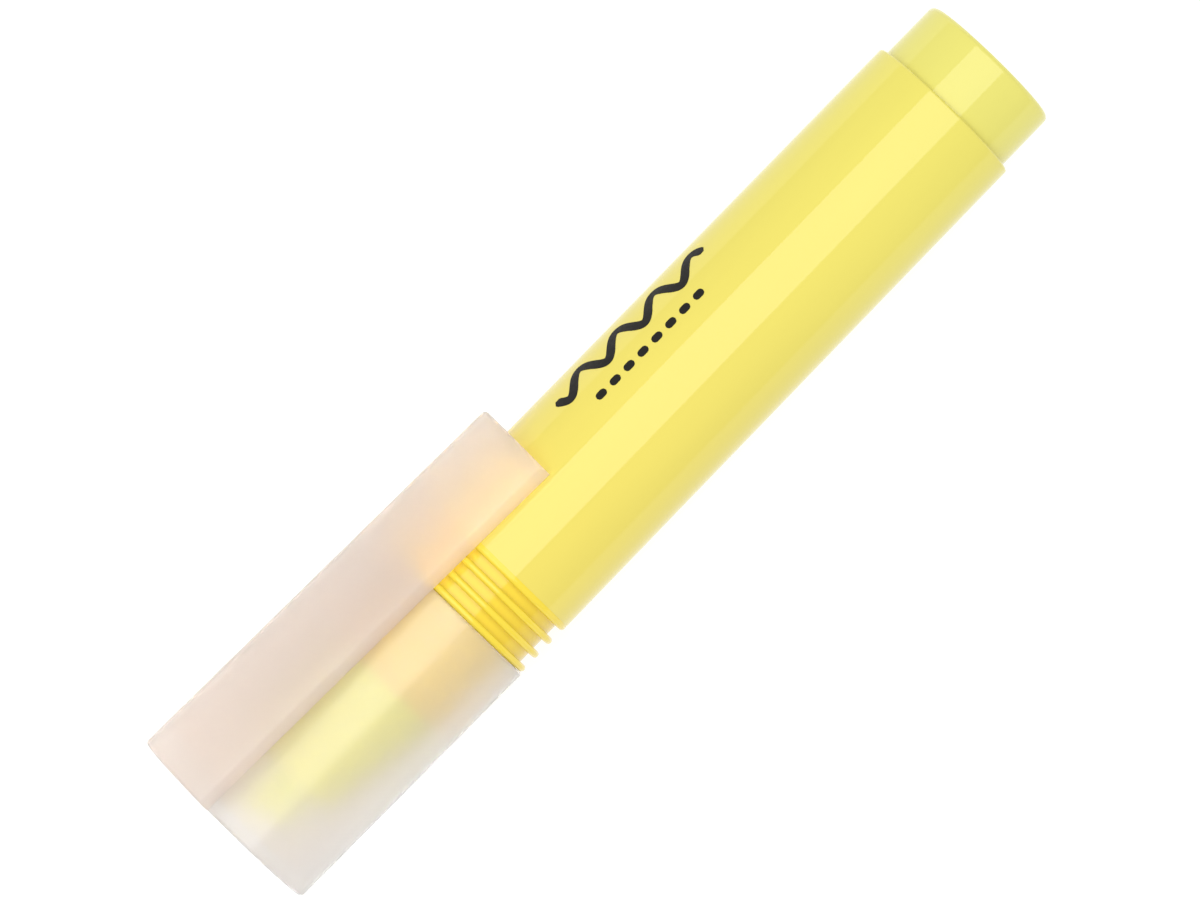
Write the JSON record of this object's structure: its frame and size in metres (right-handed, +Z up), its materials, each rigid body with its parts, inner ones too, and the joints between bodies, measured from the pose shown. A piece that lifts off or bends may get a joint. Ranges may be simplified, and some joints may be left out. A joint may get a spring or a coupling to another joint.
{
  "type": "highlighter",
  "caption": "Chunky round yellow highlighter with a ringed neck, a stepped tail and a frosted push-on cap that carries a wide full-length clip.",
  "frame": {"origin": "centre of the flat tail end, on the pen's axis", "axes": "+X along the pen towards the writing tip, -Y towards the clip, +Z up as the pen lies on its side"},
  "size_m": [0.1149, 0.0236, 0.0202],
  "materials": {
    "barrel_yellow": "glossy translucent fluorescent yellow",
    "tail_yellow": "glossy translucent greenish yellow",
    "front_amber": "glossy translucent amber yellow",
    "holder_lime": "glossy translucent lime yellow",
    "nib_fibre": "ink-soaked pressed fibre",
    "core_fibre": "ink-soaked fibre bundle",
    "clear_film": "clear glossy film",
    "tube_white": "natural white plastic",
    "frosted_cap": "frosted translucent, satin"
  },
  "bodies": {
    "pen": {"barrel": "barrel_yellow", "tail_plug": "tail_yellow", "front_section": "front_amber", "nib_holder": "holder_lime", "nib": "nib_fibre", "reservoir_core": "core_fibre", "reservoir_film": "clear_film", "breather_tube": "tube_white"},
    "cap": {"cap": "frosted_cap"},
    "clip": {"clip": "frosted_cap"}
  },
  "joints": [
    {"name": "cap_pull", "type": "slide", "parent": "pen", "child": "cap", "axis": [1, 0, 0], "range_m": [0, 0.052]},
    {"name": "clip_flex", "type": "hinge", "parent": "cap", "child": "clip", "pos_m": [0.1149, -0.00933, 0], "axis": [0, 0, 1], "range_deg": [0, 3], "stiffness_Nm_per_rad": 5}
  ]
}
